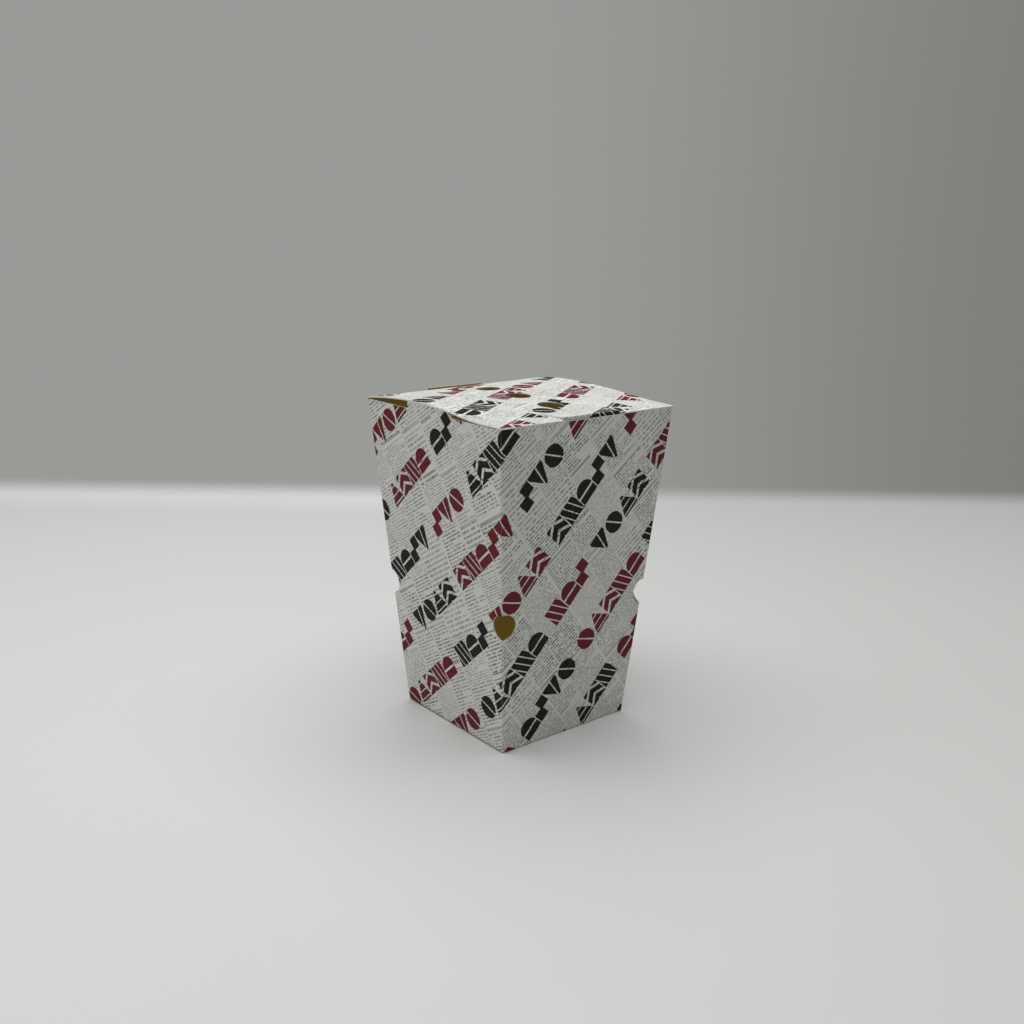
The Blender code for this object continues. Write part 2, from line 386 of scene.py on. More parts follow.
DROP_SEED, KIND_SEED, WEIGHT_SEED, GAP_SEED, END_SEED, RULE_SEED = 3.5, 7.5, 1.5, 4.5, 9.5, 12.5
print("headings in", round(100 * (1 - HEADING_FROM)), "% of the patches")


# %% Group: fine print
def chance(tree, x, y=0.0, z=0.0):
    """A number between 0 and 1 that belongs to these three numbers."""
    return out(add_node(tree, "ShaderNodeTexWhiteNoise", {"noise_dimensions": '3D'},
                        Vector=join(tree, x, y, z)), "Value")


def make_fine_group():
    tree, given, end = new_tree("ShaderNodeTree", "fine print",
                                [("Flat place", "Vector")],
                                [("Grey", "Float")])
    along, across = rotated_mm(tree, given["Flat place"], LINE_ANGLE)
    along = along + (along / SWAY_LENGTH).sin() * SWAY
    column = (along / COLUMN).floor()
    in_column = along - column * COLUMN
    down = across + chance(tree, column, DROP_SEED) * COLUMN_DROP
    patch = (down / PATCH).floor()
    in_patch = down - patch * PATCH
    kind = chance(tree, column, patch, KIND_SEED)
    heading = (in_patch < HEADING_TALL) * (kind > HEADING_FROM)
    wider = abs(kind - WIDER_AT) < WIDER_SPAN
    pitch = LINE_PITCH * (1 + heading + wider * WIDER_BY - (kind < CLOSER_BELOW) * CLOSER_BY)
    line = (down / pitch).floor()
    in_line = down / pitch - line
    tick = (along / TICK).floor()
    in_tick = along / TICK - tick

    plain = 1 - heading
    weight = chance(tree, tick, line, WEIGHT_SEED) * plain
    stroke = (STROKE + weight * STROKE_SPREAD - abs(in_line - 0.5)) * STROKE_EDGE
    in_word = (chance(tree, tick, line, GAP_SEED) + heading) > WORD_GAPS
    faint_joint = 1 - (in_tick < JOINT) * plain * JOINT_FAINTNESS
    line_end = chance(tree, line, column, END_SEED)
    margin = (in_column > GUTTER) * (in_column < COLUMN - GUTTER) \
        * (in_column < COLUMN * (line_end * LINE_SPREAD + SHORTEST_LINE))
    strength = STRENGTH + kind * STRENGTH_SPREAD + (kind > DARKER_ABOVE) * DARKER_BY \
        - (kind < FAINTER_BELOW) * FAINTER_BY
    rule = (in_patch < RULE_ACROSS) * (kind > RULE_FROM) * (in_column > GUTTER) \
        + (in_column < RULE_DOWN) * (chance(tree, column, RULE_SEED) > COLUMN_RULES)
    cloud = noise(tree, given["Flat place"], CLOUD_SCALE, 3.0) * CLOUD_SPREAD + CLOUD_LEAST
    ticks = stroke.clamp() * in_word * faint_joint * margin * strength \
        * (LIGHTEST + weight * WEIGHT_SPREAD)
    feed(end.inputs["Grey"], ((ticks + rule * RULE_STRENGTH) * cloud).clamp())
    return tree


fine_print = make_fine_group()
print("group", fine_print.name, "with", len(fine_print.nodes), "nodes")

# %% [markdown]
# ## Wear at the creases
# Where printed board is creased, the coating cracks and a thin broken line of bare fibre shows.
# The folding step below stores how far each point lies from its nearest crease, and this group
# turns that distance and some noise into a mask.

# %% Group: crease wear
CRACKS, CRACKS_FROM, CRACK_EDGE = 1.5, 1.35, 3      # how noise breaks the worn line up


def make_wear_group():
    tree, given, end = new_tree("ShaderNodeTree", "crease wear",
                                [("Width", "Float", 0.35 * MM),
                                 ("Amount", "Float", 0.35)],
                                [("Worn", "Float"), ("Line", "Float")])
    distance = out(add_node(tree, "ShaderNodeAttribute", {"attribute_name": "crease"}), "Fac")
    broken = noise(tree, object_place(tree), 520.0, 4.0, Roughness=0.7)
    near = (1 - distance / given["Width"]).clamp()
    worn = ((near + broken * CRACKS - CRACKS_FROM) * CRACK_EDGE).clamp() * given["Amount"]
    feed(end.inputs["Worn"], worn)
    feed(end.inputs["Line"], near)
    return tree


crease_wear = make_wear_group()
print("group", crease_wear.name, "with", len(crease_wear.nodes), "nodes")

# %% [markdown]
# ## The three finishes of one board
# A cut and folded sheet shows three surfaces: the white printed face, the bare brown face inside,
# and the cut edge where a thin white skin lies on brown fibre. Each is a Principled shader of its
# own, because they differ in colour and roughness as well as in pattern. The brown face also
# glows a little, unevenly, as its fibres lie: painted light, an emission that stands in for the
# daylight that comes through so thin a board.

# %% Finishes
WHITE = (0.785, 0.785, 0.74)
KRAFT = (0.32, 0.245, 0.126)
EDGE = (0.76, 0.75, 0.70)
RED_INK = (0.150, 0.009, 0.018)
BLACK_INK = (0.0085, 0.0065, 0.0045)
GREY_INK = (0.055, 0.058, 0.056)
WORN_FIBRE = (0.66, 0.63, 0.56)
FLECK = (0.13, 0.075, 0.03)
# Painted light: an emission colour for the brown face, in place of daylight through the board.
PAINTED_GLOW = (0.050, 0.0345, 0.0056)      # daylight through the board
INK_COVER = 0.97


def mix(tree, factor, first, second):
    """Mix two colours."""
    node = add_node(tree, "ShaderNodeMix", {"data_type": 'RGBA'}, Factor=factor, A=first,
                    B=second)
    return out(node, "Result")


def rgba(colour):
    return (*colour, 1.0)


def new_finish(name):
    material = bpy.data.materials.new(name)
    material.use_nodes = True
    tree = material.node_tree
    return material, tree, tree.nodes["Principled BSDF"]


def bump(tree, shader, height, strength, depth):
    node = add_node(tree, "ShaderNodeBump", Height=height, Strength=strength, Distance=depth)
    feed(shader.inputs["Normal"], out(node))


def tinted(tree, colour, tone, amount):
    """A colour lightened and darkened by a tone round zero."""
    factor = tone * amount + 1
    shade = add_node(tree, "ShaderNodeVectorMath", {"operation": 'SCALE'}, Vector=colour,
                     Scale=factor)
    return out(shade)


def make_printed_finish():
    material, tree, shader = new_finish("printed white face")
    flat = out(add_node(tree, "ShaderNodeUVMap", {"uv_map": "blank"}))
    grain = place_group(tree, board_grain, Streak_scale=1500.0, Mottle_scale=190.0)
    bold = place_group(tree, bold_print, Flat_place=flat)
    fine = place_group(tree, fine_print, Flat_place=flat)
    wear = place_group(tree, crease_wear)
    paper = tinted(tree, WHITE, out(grain, "Tone"), 0.09)
    colour = mix(tree, out(fine, "Grey"), paper, rgba(GREY_INK))
    colour = mix(tree, out(bold, "Red") * INK_COVER, colour, rgba(RED_INK))
    colour = mix(tree, out(bold, "Black") * INK_COVER, colour, rgba(BLACK_INK))
    colour = mix(tree, out(wear, "Worn"), colour, rgba(WORN_FIBRE))
    feed(shader.inputs["Base Color"], colour)
    inked = (out(bold, "Red") + out(bold, "Black")).clamp()
    feed(shader.inputs["Roughness"], 0.58 - inked * 0.06 + out(grain, "Tone") * 0.06)
    shader.inputs["Specular IOR Level"].default_value = 0.02
    height = out(grain, "Height") - out(wear, "Line") * 0.7
    bump(tree, shader, height, 0.25, 0.06 * MM)
    return material


def make_kraft_finish():
    material, tree, shader = new_finish("bare brown face")
    grain = place_group(tree, board_grain, Streak_scale=1100.0, Mottle_scale=90.0)
    flecks = add_node(tree, "ShaderNodeTexVoronoi", Scale=420.0, Vector=object_place(tree))
    dark = (0.22 - out(flecks, "Distance")).clamp() * 2.0
    tone = out(grain, "Tone")
    colour = mix(tree, dark, tinted(tree, KRAFT, tone, 0.34), rgba(FLECK))
    feed(shader.inputs["Base Color"], colour)
    feed(shader.inputs["Roughness"], 0.78 + tone * 0.08)
    shader.inputs["Specular IOR Level"].default_value = 0.25
    # Painted light: the brown face emits a faint glow that stands in for daylight through the
    # board.
    feed(shader.inputs["Emission Color"], tinted(tree, PAINTED_GLOW, tone, 0.8))
    shader.inputs["Emission Strength"].default_value = 1.0
    bump(tree, shader, out(grain, "Height"), 0.4, 0.09 * MM)
    return material


def make_edge_finish():
    material, tree, shader = new_finish("cut edge")
    grain = place_group(tree, board_grain, Streak_scale=2600.0, Mottle_scale=600.0)
    tone = out(grain, "Tone")
    feed(shader.inputs["Base Color"], tinted(tree, EDGE, tone, 0.30))
    feed(shader.inputs["Roughness"], 0.85 + tone * 0.05)
    bump(tree, shader, out(grain, "Height"), 0.5, 0.1 * MM)
    return material


printed_face = make_printed_finish()
bare_face = make_kraft_finish()
cut_edge = make_edge_finish()
print("finishes", [material.name for material in (printed_face, bare_face, cut_edge)])

# %% [markdown]
# ## Cutting the board
# Both pieces start as a flat sheet with no thickness. One group of geometry nodes turns any such
# sheet into board: it is thickened, the round vents are punched, the flat coordinates are kept as
# a UV map, and each face is marked as printed, bare or cut. Punching while everything is still
# flat is how the real press does it, and it gives the corner vents their true folded outline.

# %% Group: cut board
PRINTED, BARE, CUT = 0, 1, 2
MERGE = BOARD / 50
PUNCH_SIDES = 64
PUNCH_DEPTH = 8                 # in thicknesses of the board


def make_cut_board():
    tree, given, end = new_tree("GeometryNodeTree", "cut board",
                                [("Sheet", "Geometry"),
                                 ("Vents", "Geometry"),
                                 ("Stretch", "Float", 1.0),
                                 ("Thickness", "Float", BOARD),
                                 ("Vent diameter", "Float", VENT_DIAMETER)],
                                [("Board", "Geometry")])
    thickness = given["Thickness"]
    lowered = add_node(tree, "GeometryNodeTransform", Geometry=given["Sheet"],
                       Translation=join(tree, z=thickness * -1))
    raised = add_node(tree, "GeometryNodeExtrudeMesh", {"mode": 'FACES'}, Mesh=out(lowered),
                      Offset_Scale=thickness, Individual=False)
    under = add_node(tree, "GeometryNodeFlipFaces", Mesh=out(lowered))
    faces = add_node(tree, "GeometryNodeJoinGeometry", Geometry=out(raised, "Mesh"))
    tree.links.new(out(under).socket, faces.inputs["Geometry"])
    closed = add_node(tree, "GeometryNodeMergeByDistance", Geometry=out(faces), Distance=MERGE)
    punch = add_node(tree, "GeometryNodeMeshCylinder", Vertices=PUNCH_SIDES,
                     Radius=given["Vent diameter"] / 2, Depth=thickness * PUNCH_DEPTH)
    placed = add_node(tree, "GeometryNodeInstanceOnPoints", Points=given["Vents"],
                      Instance=out(punch, "Mesh"), Scale=join(tree, given["Stretch"], 1.0, 1.0))
    punches = add_node(tree, "GeometryNodeRealizeInstances", Geometry=out(placed))
    cut = add_node(tree, "GeometryNodeMeshBoolean", {"operation": 'DIFFERENCE', "solver": 'EXACT'})
    tree.links.new(out(closed).socket, cut.inputs["Mesh 1"])
    tree.links.new(out(punches).socket, cut.inputs["Mesh 2"])
    facing = split(tree, out(add_node(tree, "GeometryNodeInputNormal"), "Normal"))[2]
    side = CUT + (facing > 0.5) * (PRINTED - CUT) + (facing < -0.5) * (BARE - CUT)
    marked = store_attribute(tree, out(cut, "Mesh"), "surface", side, 'FLOAT', 'FACE')
    place = out(add_node(tree, "GeometryNodeInputPosition"))
    mapped = store_attribute(tree, marked, "blank", place, 'FLOAT2', 'CORNER')
    feed(end.inputs["Board"], mapped)
    return tree


cut_board = make_cut_board()
print("group", cut_board.name, "with", len(cut_board.nodes), "nodes")


# %% Ending a folding tree
SHARP_ANGLE = math.radians(35)


def finish_fold(tree, end, geometry, positions, crease):
    """Move the cut board to its folded place, note its creases and give it its finishes."""
    noted = store_attribute(tree, geometry, "crease", crease, 'FLOAT', 'POINT')
    folded = add_node(tree, "GeometryNodeSetPosition", Geometry=noted, Position=positions)
    merged = add_node(tree, "GeometryNodeMergeByDistance", Geometry=out(folded), Distance=MERGE)
    result = out(add_node(tree, "GeometryNodeRealizeInstances", Geometry=out(merged)))
    side = read_attribute(tree, "surface")
    for number, material in ((PRINTED, printed_face), (BARE, bare_face), (CUT, cut_edge)):
        chosen = abs(side - number) < 0.5
        result = out(add_node(tree, "GeometryNodeSetMaterial", Geometry=result, Selection=chosen,
                              Material=material))
    feed(end.inputs["Folded"], result)


def run_tree(sheet, tree, values):
    """Fold a flat sheet with a tree, and leave a plain mesh in its place."""
    modifier = sheet.modifiers.new("fold", 'NODES')
    modifier.node_group = tree
    for item in tree.interface.items_tree:
        if item.item_type == 'SOCKET' and item.in_out == 'INPUT' and item.name in values:
            modifier[item.identifier] = values[item.name]
    bpy.context.scene.collection.objects.link(sheet)
    evaluated = sheet.evaluated_get(bpy.context.evaluated_depsgraph_get())
    mesh = bpy.data.meshes.new_from_object(evaluated)
    sheet.modifiers.clear()
    flat = sheet.data
    sheet.data = mesh
    bpy.data.meshes.remove(flat)
    mesh.name = sheet.name
    mesh.shade_smooth()
    mesh.set_sharp_from_angle(angle=SHARP_ANGLE)
    return sheet


# %% [markdown]
# ## The lid's arch
# The lid isn't flat. The low tabs on the side walls hold its edges up, so it bows into an arch
# that is highest nearer to the hinge, a little higher on the right, and comes down to the front
# rim. Its middle has nothing under it and sags between the tabs, and its side edges droop where
# their tabs end. The tabs are cut to the line of the arch, so the formula is needed twice: once
# as plain numbers, for the tabs, and once as nodes, for the lid. Writing it with `sine` and
# `limit` serves both.

# %% The arch as a formula
ARCH_LEFT, ARCH_RIGHT = 3.2 * MM, 3.7 * MM
SKEW_LEFT, SKEW_RIGHT = 0.88, 0.60
SAG, SAG_SKEW = 0.9 * MM, 1.9
DROOP_LEFT, DROOP_RIGHT = 1.3 * MM, 0.4 * MM
DROOP_SKEW, DROOP_EDGE = 3, 3
FRONT_LIFT, LIFT_SKEW = 1.25 * MM, 4
LIFT_FADE = 0.6 * MM
TOUCH = 0.06 * MM               # what is left between board and board where they meet


def lid_underside(x, y):
    across = x / RIM_WIDTH + 0.5
    along = limit((RIM_HALF - y) / RIM_WIDTH, 0.0, 1.0)
    rise = ARCH_LEFT + (ARCH_RIGHT - ARCH_LEFT) * across
    skew = SKEW_LEFT + (SKEW_RIGHT - SKEW_LEFT) * across
    fade = limit(1 - (abs(x) - TAB_HALF) / LIFT_FADE, 0.0, 1.0)
    lift = FRONT_LIFT * fade * fade * (3 - 2 * fade) * along ** LIFT_SKEW
    sag = SAG * sine(math.pi * along ** SAG_SKEW) * (1 - limit(abs(x) / RIM_HALF, 0.0, 1.0) ** 2)
    droop = DROOP_LEFT * (1 - across) ** DROOP_EDGE + DROOP_RIGHT * across ** DROOP_EDGE
    droop = droop * sine(math.pi * along ** DROOP_SKEW) ** 2
    settled = (CLEARANCE - TOUCH) * along
    return HEIGHT + CLEARANCE - settled + rise * sine(math.pi * along ** skew) + lift - sag - droop


TAB_TOPS = {
    "hinge": lambda place: HEIGHT + HINGE_TAB_RISE,
    "left": lambda place: lid_underside(-RIM_HALF, -place * TAB_HALF) - TOUCH,
    "right": lambda place: lid_underside(RIM_HALF, place * TAB_HALF) - TOUCH,
}
print("tab tops", {side: [round(top(place) / MM, 2) for place in (-1, 0, 1)]
                   for side, top in TAB_TOPS.items()}, "mm")

# %% [markdown]
# ## The carton's flat sheet
# The sheet is laid out as a grid of columns and rows on the fan. Columns crowd together at the
# folds, where the board has to bend, and rows crowd at the base crease. Each wall then keeps only
# the cells that the real outline has: a tab in the middle of three rims, a base flap a little
# narrower than its wall, and a glue flap beyond the last wall, which goes inside the hinge wall.

# %% Columns and rows
FOLD_ZONE = 0.965
TAB_SHARE = TAB_WIDTH / RIM_WIDTH
SLIT = 0.3 * MM
BASE_RADIUS = 0.6 * MM
CORNER_RADIUS = 0.9 * MM
FLAP_GAP = 0.2 * MM
OUTER_FLAP = BASE_WIDTH / 2 - FLAP_GAP
INNER_FLAP = BASE_WIDTH / 2 - BOARD - FLAP_GAP
GLUE_FLAP, SEAM_SETBACK = 0.26, 0.032       # in half walls
GLUE_BOTTOM, GLUE_TOP = 3 * MM, SLANT - 2 * MM
BEAD = BOARD / 2
TO_AXIS = (HINGE.z - HEIGHT) / STEEPNESS


def steps(start, end, count):
    """Places from start to end, with count spaces between them."""
    return [start + (end - start) * step / count for step in range(count + 1)]


def wall_columns():
    """Places across one wall, from -1 to 1, crowded at its folds and at its tab's ends."""
    tab_end = TAB_SHARE + SLIT / RIM_HALF
    half = steps(0.0, TAB_SHARE, 5) + steps(tab_end, FOLD_ZONE, 9) + steps(FOLD_ZONE, 1.0, 9)
    return {-place for place in half} | set(half)


def sheet_columns():
    """Places round the whole fan: two for each wall, with the front wall from -1 to 1."""
    columns = {round(2 * wall + place, 6) for wall in WALLS.values() for place in wall_columns()}
    seam = -5 + SEAM_SETBACK
    glue = steps(3.0, 4 - FOLD_ZONE, 9) + steps(4 - FOLD_ZONE, 3 + GLUE_FLAP, 4)
    return sorted({place for place in columns if place > seam} | {seam} | set(glue))


def bead_rows(start, end):
    """Rows up to an edge that is rounded over: they crowd towards its tip."""
    return [start] + [end - BEAD + BEAD * math.sin(QUARTER_TURN * step / 4) for step in range(5)]


SHEET_ZONES = {
    "flap": steps(1.0, 0.0, 12),
    "wall": steps(-BASE_RADIUS, BASE_RADIUS, 8) + steps(BASE_RADIUS, SLANT, 60)[1:],
    "hinge": bead_rows(SLANT, SLANT + TO_AXIS + BEAD),
    "tab": steps(0.0, 1.0, 3),
}


# %% Where a cell lies, and if it is there
def wall_of(column):
    return max(min(round(column / 2), 2), -2)


def side_name(wall):
    return {number: name for name, number in WALLS.items()}.get(wall, "glue flap")


def has_tab(wall, place):
    return side_name(wall) in TAB_TOPS and abs(place) <= TAB_SHARE + 1e-6


def tab_row(wall, place, share):
    """Place up the slope of a row of a tab, from where the hinge wall's bead ends to its top."""
    start = SHEET_ZONES["hinge"][-1]
    if not has_tab(wall, place):
        return start
    height = TAB_TOPS[side_name(wall)](place / TAB_SHARE)
    return start + (SLANT + (height - HEIGHT) / STEEPNESS - start) * share


def sheet_point(column, zone, value):
    wall = wall_of(column)
    place = column - 2 * wall
    t = value
    if zone == "flap":
        flap = OUTER_FLAP if wall % 2 == 0 else INNER_FLAP
        t = -BASE_RADIUS - (flap - BASE_RADIUS) * value
    elif zone == "tab":
        t = tab_row(wall, place, value)
    return fan_point(wall, place * (BASE_WIDTH / 2 + SPREAD * t), t)


def sheet_has(column, zone, value):
    """Whether the board has the cell whose middle is at this column and row."""
    wall = wall_of(column)
    place = column - 2 * wall
    if side_name(wall) == "glue flap":
        return zone == "wall" and GLUE_BOTTOM < value < GLUE_TOP
    if zone == "tab":
        return has_tab(wall, place)
    if zone == "hinge":
        return has_tab(wall, place) or side_name(wall) == "hinge"
    return value > 0 and zone == "wall" or abs(place) < FOLD_ZONE


# %% Making a sheet from its grid
def flat_sheet(name, columns, zones, point, has, bead):
    """A flat mesh of the cells that has() keeps. bead() says how far the board is thinned."""
    bm = bmesh.new()
    thinned = bm.verts.layers.float.new("bead")
    for zone, rows in zones.items():
        verts = {}
        for low, high in zip(rows, rows[1:]):
            for left, right in zip(columns, columns[1:]):
                if not has((left + right) / 2, zone, (low + high) / 2):
                    continue
                corners = ((left, low), (right, low), (right, high), (left, high))
                for key in corners:
                    if key not in verts:
                        verts[key] = bm.verts.new((*point(key[0], zone, key[1]), 0.0))
                        verts[key][thinned] = bead(key[0], zone, key[1])
                bm.faces.new([verts[key] for key in corners])
    bmesh.ops.remove_doubles(bm, verts=bm.verts, dist=BOARD / 100)
    mesh = bpy.data.meshes.new(name)
    bm.to_mesh(mesh)
    bm.free()
    return bpy.data.objects.new(name, mesh)


def thinning(from_tip):
    """Share by which board is thinned at a distance from its rounded tip."""
    inward = min(max(1 - from_tip / BEAD, 0), 1)
    return 1 - math.sqrt(1 - inward ** 2)


def carton_bead(column, zone, value):
    """The hinge wall's top ends in a round bead, except in its tab."""
    wall = wall_of(column)
    if zone != "hinge" or has_tab(wall, column - 2 * wall):
        return 0.0
    return thinning(SHEET_ZONES["hinge"][-1] - value)


carton_sheet = flat_sheet("carton_board", sheet_columns(), SHEET_ZONES, sheet_point, sheet_has,
                          carton_bead)
print("flat carton", len(carton_sheet.data.polygons), "cells,",
      [round(size / MM) for size in carton_sheet.dimensions], "mm")

# %% [markdown]
# ## Folding the carton
# The tree takes each point of the cut board back to its wall: its angle on the fan says which
# wall, and how far right of the middle and up the slope it lies. Two bends follow. At the base
# the board turns through a quarter circle under the carton, and at each upright fold it turns
# through half a corner from either side. Last, the wall is turned to face its own way.

# %% Tree: fold the carton
VENT_FOLDS = (-2.5, -1.5, -0.49, 0.5, 1.5)      # in walls, from the front wall's middle
VENT_HEIGHTS = [place * MM for place in (61.8, 61.5, 62.1, 62.2, 61.8)]
FRONT_VENT, VENT_STRETCH = 2, 1.15              # the third vent is a little wider
SHY = 0.02 * MM                 # keeps the walls just within the solid they stand for
BOW = 0.25 * MM                 # how far the middle of a wall stands out
SEAM_ROOM = 0.05 * MM           # between the glue flap and the wall that it is stuck to
RISE_START, RISE_END = 0.5 * MM, 5 * MM     # up the slope, where the inner flaps' rise fades


def ramp(value, start, end):
    """0 at start, 1 at end, and smooth between them."""
    node = add_node(value.tree, "ShaderNodeMapRange", {"interpolation_type": 'SMOOTHSTEP'},
                    Value=value, From_Min=start, From_Max=end)
    return out(node)


def board_depth(tree, z, thickness):
    """Depth of a point in the board, from 0 at the printed face, thinned where it has a bead."""
    half = thickness / 2
    return half - (z + half) * (1 - read_attribute(tree, "bead"))


def make_carton_tree():
    tree, given, end = new_tree("GeometryNodeTree", "fold the carton",
                                [("Sheet", "Geometry"),
                                 ("Thickness", "Float", BOARD),
                                 ("Vent diameter", "Float", VENT_DIAMETER),
                                 ("Corner radius", "Float", CORNER_RADIUS),
                                 ("Base radius", "Float", BASE_RADIUS),
                                 ("Bow", "Float", BOW)],
                                [("Folded", "Geometry")])
    thickness, radius, base = given["Thickness"], given["Corner radius"], given["Base radius"]

    marks = add_node(tree, "GeometryNodeMeshLine", Count=len(VENT_HEIGHTS))
    number = out(add_node(tree, "GeometryNodeInputIndex"))
    fold_angle = sum((abs(number - mark) < 0.5) * fold * FAN
                     for mark, fold in enumerate(VENT_FOLDS))
    height = sum((abs(number - mark) < 0.5) * place for mark, place in enumerate(VENT_HEIGHTS))
    reach = (height / STEEPNESS + APEX) / math.cos(FAN / 2)
    vents = add_node(tree, "GeometryNodeSetPosition", Geometry=out(marks),
                     Position=join(tree, fold_angle.sin() * reach, fold_angle.cos() * reach))
    stretch = (abs(number - FRONT_VENT) < 0.5) * (VENT_STRETCH - 1) + 1
    board = out(place_group(tree, cut_board, Sheet=given["Sheet"], Vents=out(vents),
                            Stretch=stretch, Thickness=thickness,
                            Vent_diameter=given["Vent diameter"]))

    x, y, z = split(tree, out(add_node(tree, "GeometryNodeInputPosition")))
    angle = x.math('ARCTAN2', y)
    wall = (angle / FAN).math('ROUND')
    distance = length(x, y)
    s = distance * (angle - wall * FAN).sin()
    t = distance * (angle - wall * FAN).cos() - APEX
    depth = board_depth(tree, z, thickness)

    half = BASE_WIDTH / 2 + t.math('MAXIMUM', 0.0) * SPREAD
    up = (t / SLANT).clamp()
    bulge = SHY * -1 + given["Bow"] * (up * math.pi).sin() * (1 - (s / half) ** 2).clamp()
    turn = ((base - t) / (base * 2)).clamp() * QUARTER_TURN
    under = (base * -1 - t).math('MAXIMUM', 0.0)
    inward = base - (base - depth) * turn.cos() + under - bulge
    inner_flap = abs(wall.modulo(2))
    lift = inner_flap * thickness * (1 - ramp(t, RISE_START, RISE_END))
    height = base - (base - depth) * turn.sin() + (t - base).math('MAXIMUM', 0.0) * STEEPNESS

    flat_end = half - radius
    bend = ((abs(s) - flat_end) / radius).clamp() * (QUARTER_TURN / 2)
    tucked = (wall > 1.5) * (1 - bend / (QUARTER_TURN / 2)) * (thickness + SEAM_ROOM)
    inward = inward + tucked
    aside = abs(s).math('MINIMUM', flat_end) + (radius - inward) * bend.sin()
    back = radius - (radius - inward) * bend.cos()
    local_x = aside * s.math('SIGN')
    local_y = back - half
    facing = wall * QUARTER_TURN
    positions = join(tree, local_x * facing.cos() - local_y * facing.sin(),
                     local_x * facing.sin() + local_y * facing.cos(), height + lift)
    crease = abs(half - abs(s)).math('MINIMUM', abs(t))
    finish_fold(tree, end, board, positions, crease)
    return tree


carton_tree = make_carton_tree()
carton_board = run_tree(carton_sheet, carton_tree, {"Bow": BOW})
print("carton", len(carton_board.data.polygons), "faces,",
      [round(size / MM, 1) for size in carton_board.dimensions], "mm")

# %% [markdown]
# ## The lid's flat sheet
# The lid goes on from the hinge wall past a crease. Its sheet has a notch at the hinge, left by
# the tab that stays with the wall, two short lips that come to rest over the front rim, and
# between them the tuck flap, longer, with rounded corners. Slits part the flap from the lips.

# %% Lid columns and rows
NOTCH_DEPTH = 2.4 * MM
FLAP_DEPTH = 18 * MM
FLAP_CORNER = 6 * MM
FLAP_LEAN = math.radians(6.5)
FOLD_RADIUS = 0.08 * MM
CRISPNESS = 0.8                 # 0 leaves the outside of the fold round, 1 makes it a sharp corner
FOLD_START = -RIM_HALF + 2 * BOARD + CLEARANCE + FOLD_RADIUS
TO_FOLD = HINGE.y - FOLD_START
FOLD_LENGTH = (QUARTER_TURN + FLAP_LEAN) * (FOLD_RADIUS + BOARD / 2)
TO_LIPS = HINGE.y + RIM_HALF
NOTCH_END = HINGE.y - RIM_HALF + NOTCH_DEPTH
LID_BOARD = BOARD * 0.99        # a hair thinner, to stay just within the solid


def lid_columns():
    """Places across the lid from right to left, which is how they lie on the printed sheet."""
    half = steps(0.0, TAB_HALF, 12) + steps(TAB_HALF + SLIT, TAB_HALF + 3 * SLIT, 3) \
        + steps(TAB_HALF + 3 * SLIT, RIM_HALF, 22)
    return sorted({-place for place in half} | set(half), reverse=True)


LID_ZONES = {
    "panel": [-place for place in reversed(bead_rows(0.0, BEAD)[1:])]
             + steps(0.0, NOTCH_END, 4)[1:] + steps(NOTCH_END, TO_FOLD, 64)[1:],
    "front": steps(0.0, 1.0, 8),
    "flap": steps(0.0, FLAP_DEPTH - FLAP_CORNER, 6)
            + [FLAP_DEPTH - FLAP_CORNER + FLAP_CORNER * math.sin(math.radians(9) * step)
               for step in range(1, 11)],
}


def in_middle(x):
    return abs(x) < TAB_HALF + SLIT / 2


def lid_point(x, zone, value):
    """Flat place of a point x from the middle. Panel rows are distances from the hinge's axis."""
    if zone == "panel":
        return Vector((-x, value))
    if zone == "front":
        return Vector((-x, TO_FOLD + value * (FOLD_LENGTH if in_middle(x) else TO_LIPS - TO_FOLD)))
    rounding = max((value - FLAP_DEPTH) / FLAP_CORNER + 1, 0)
    share = 1 - FLAP_CORNER / TAB_HALF * (1 - math.sqrt(max(1 - rounding ** 2, 0)))
    return Vector((-x * share, TO_FOLD + FOLD_LENGTH + value))


def lid_has(x, zone, value):
    if zone == "panel":
        return value > NOTCH_END or abs(x) > TAB_HALF + SLIT
    if TAB_HALF < abs(x) < TAB_HALF + SLIT:
        return False
    return zone == "front" or in_middle(x)


def lid_bead(x, zone, value):
    """The lid's hinge edge ends in a round bead like the hinge wall's."""
    return thinning(value + BEAD) if zone == "panel" and value < 0 else 0.0


# %% [markdown]
# ## Folding the lid
# The lid's sheet lies along the hinge wall's own flat direction, so its print carries on from the
# wall's. The tree lays it over the carton on the arch formula, bends the tuck flap down through a
# little more than a right angle, and leaves the lips straight.

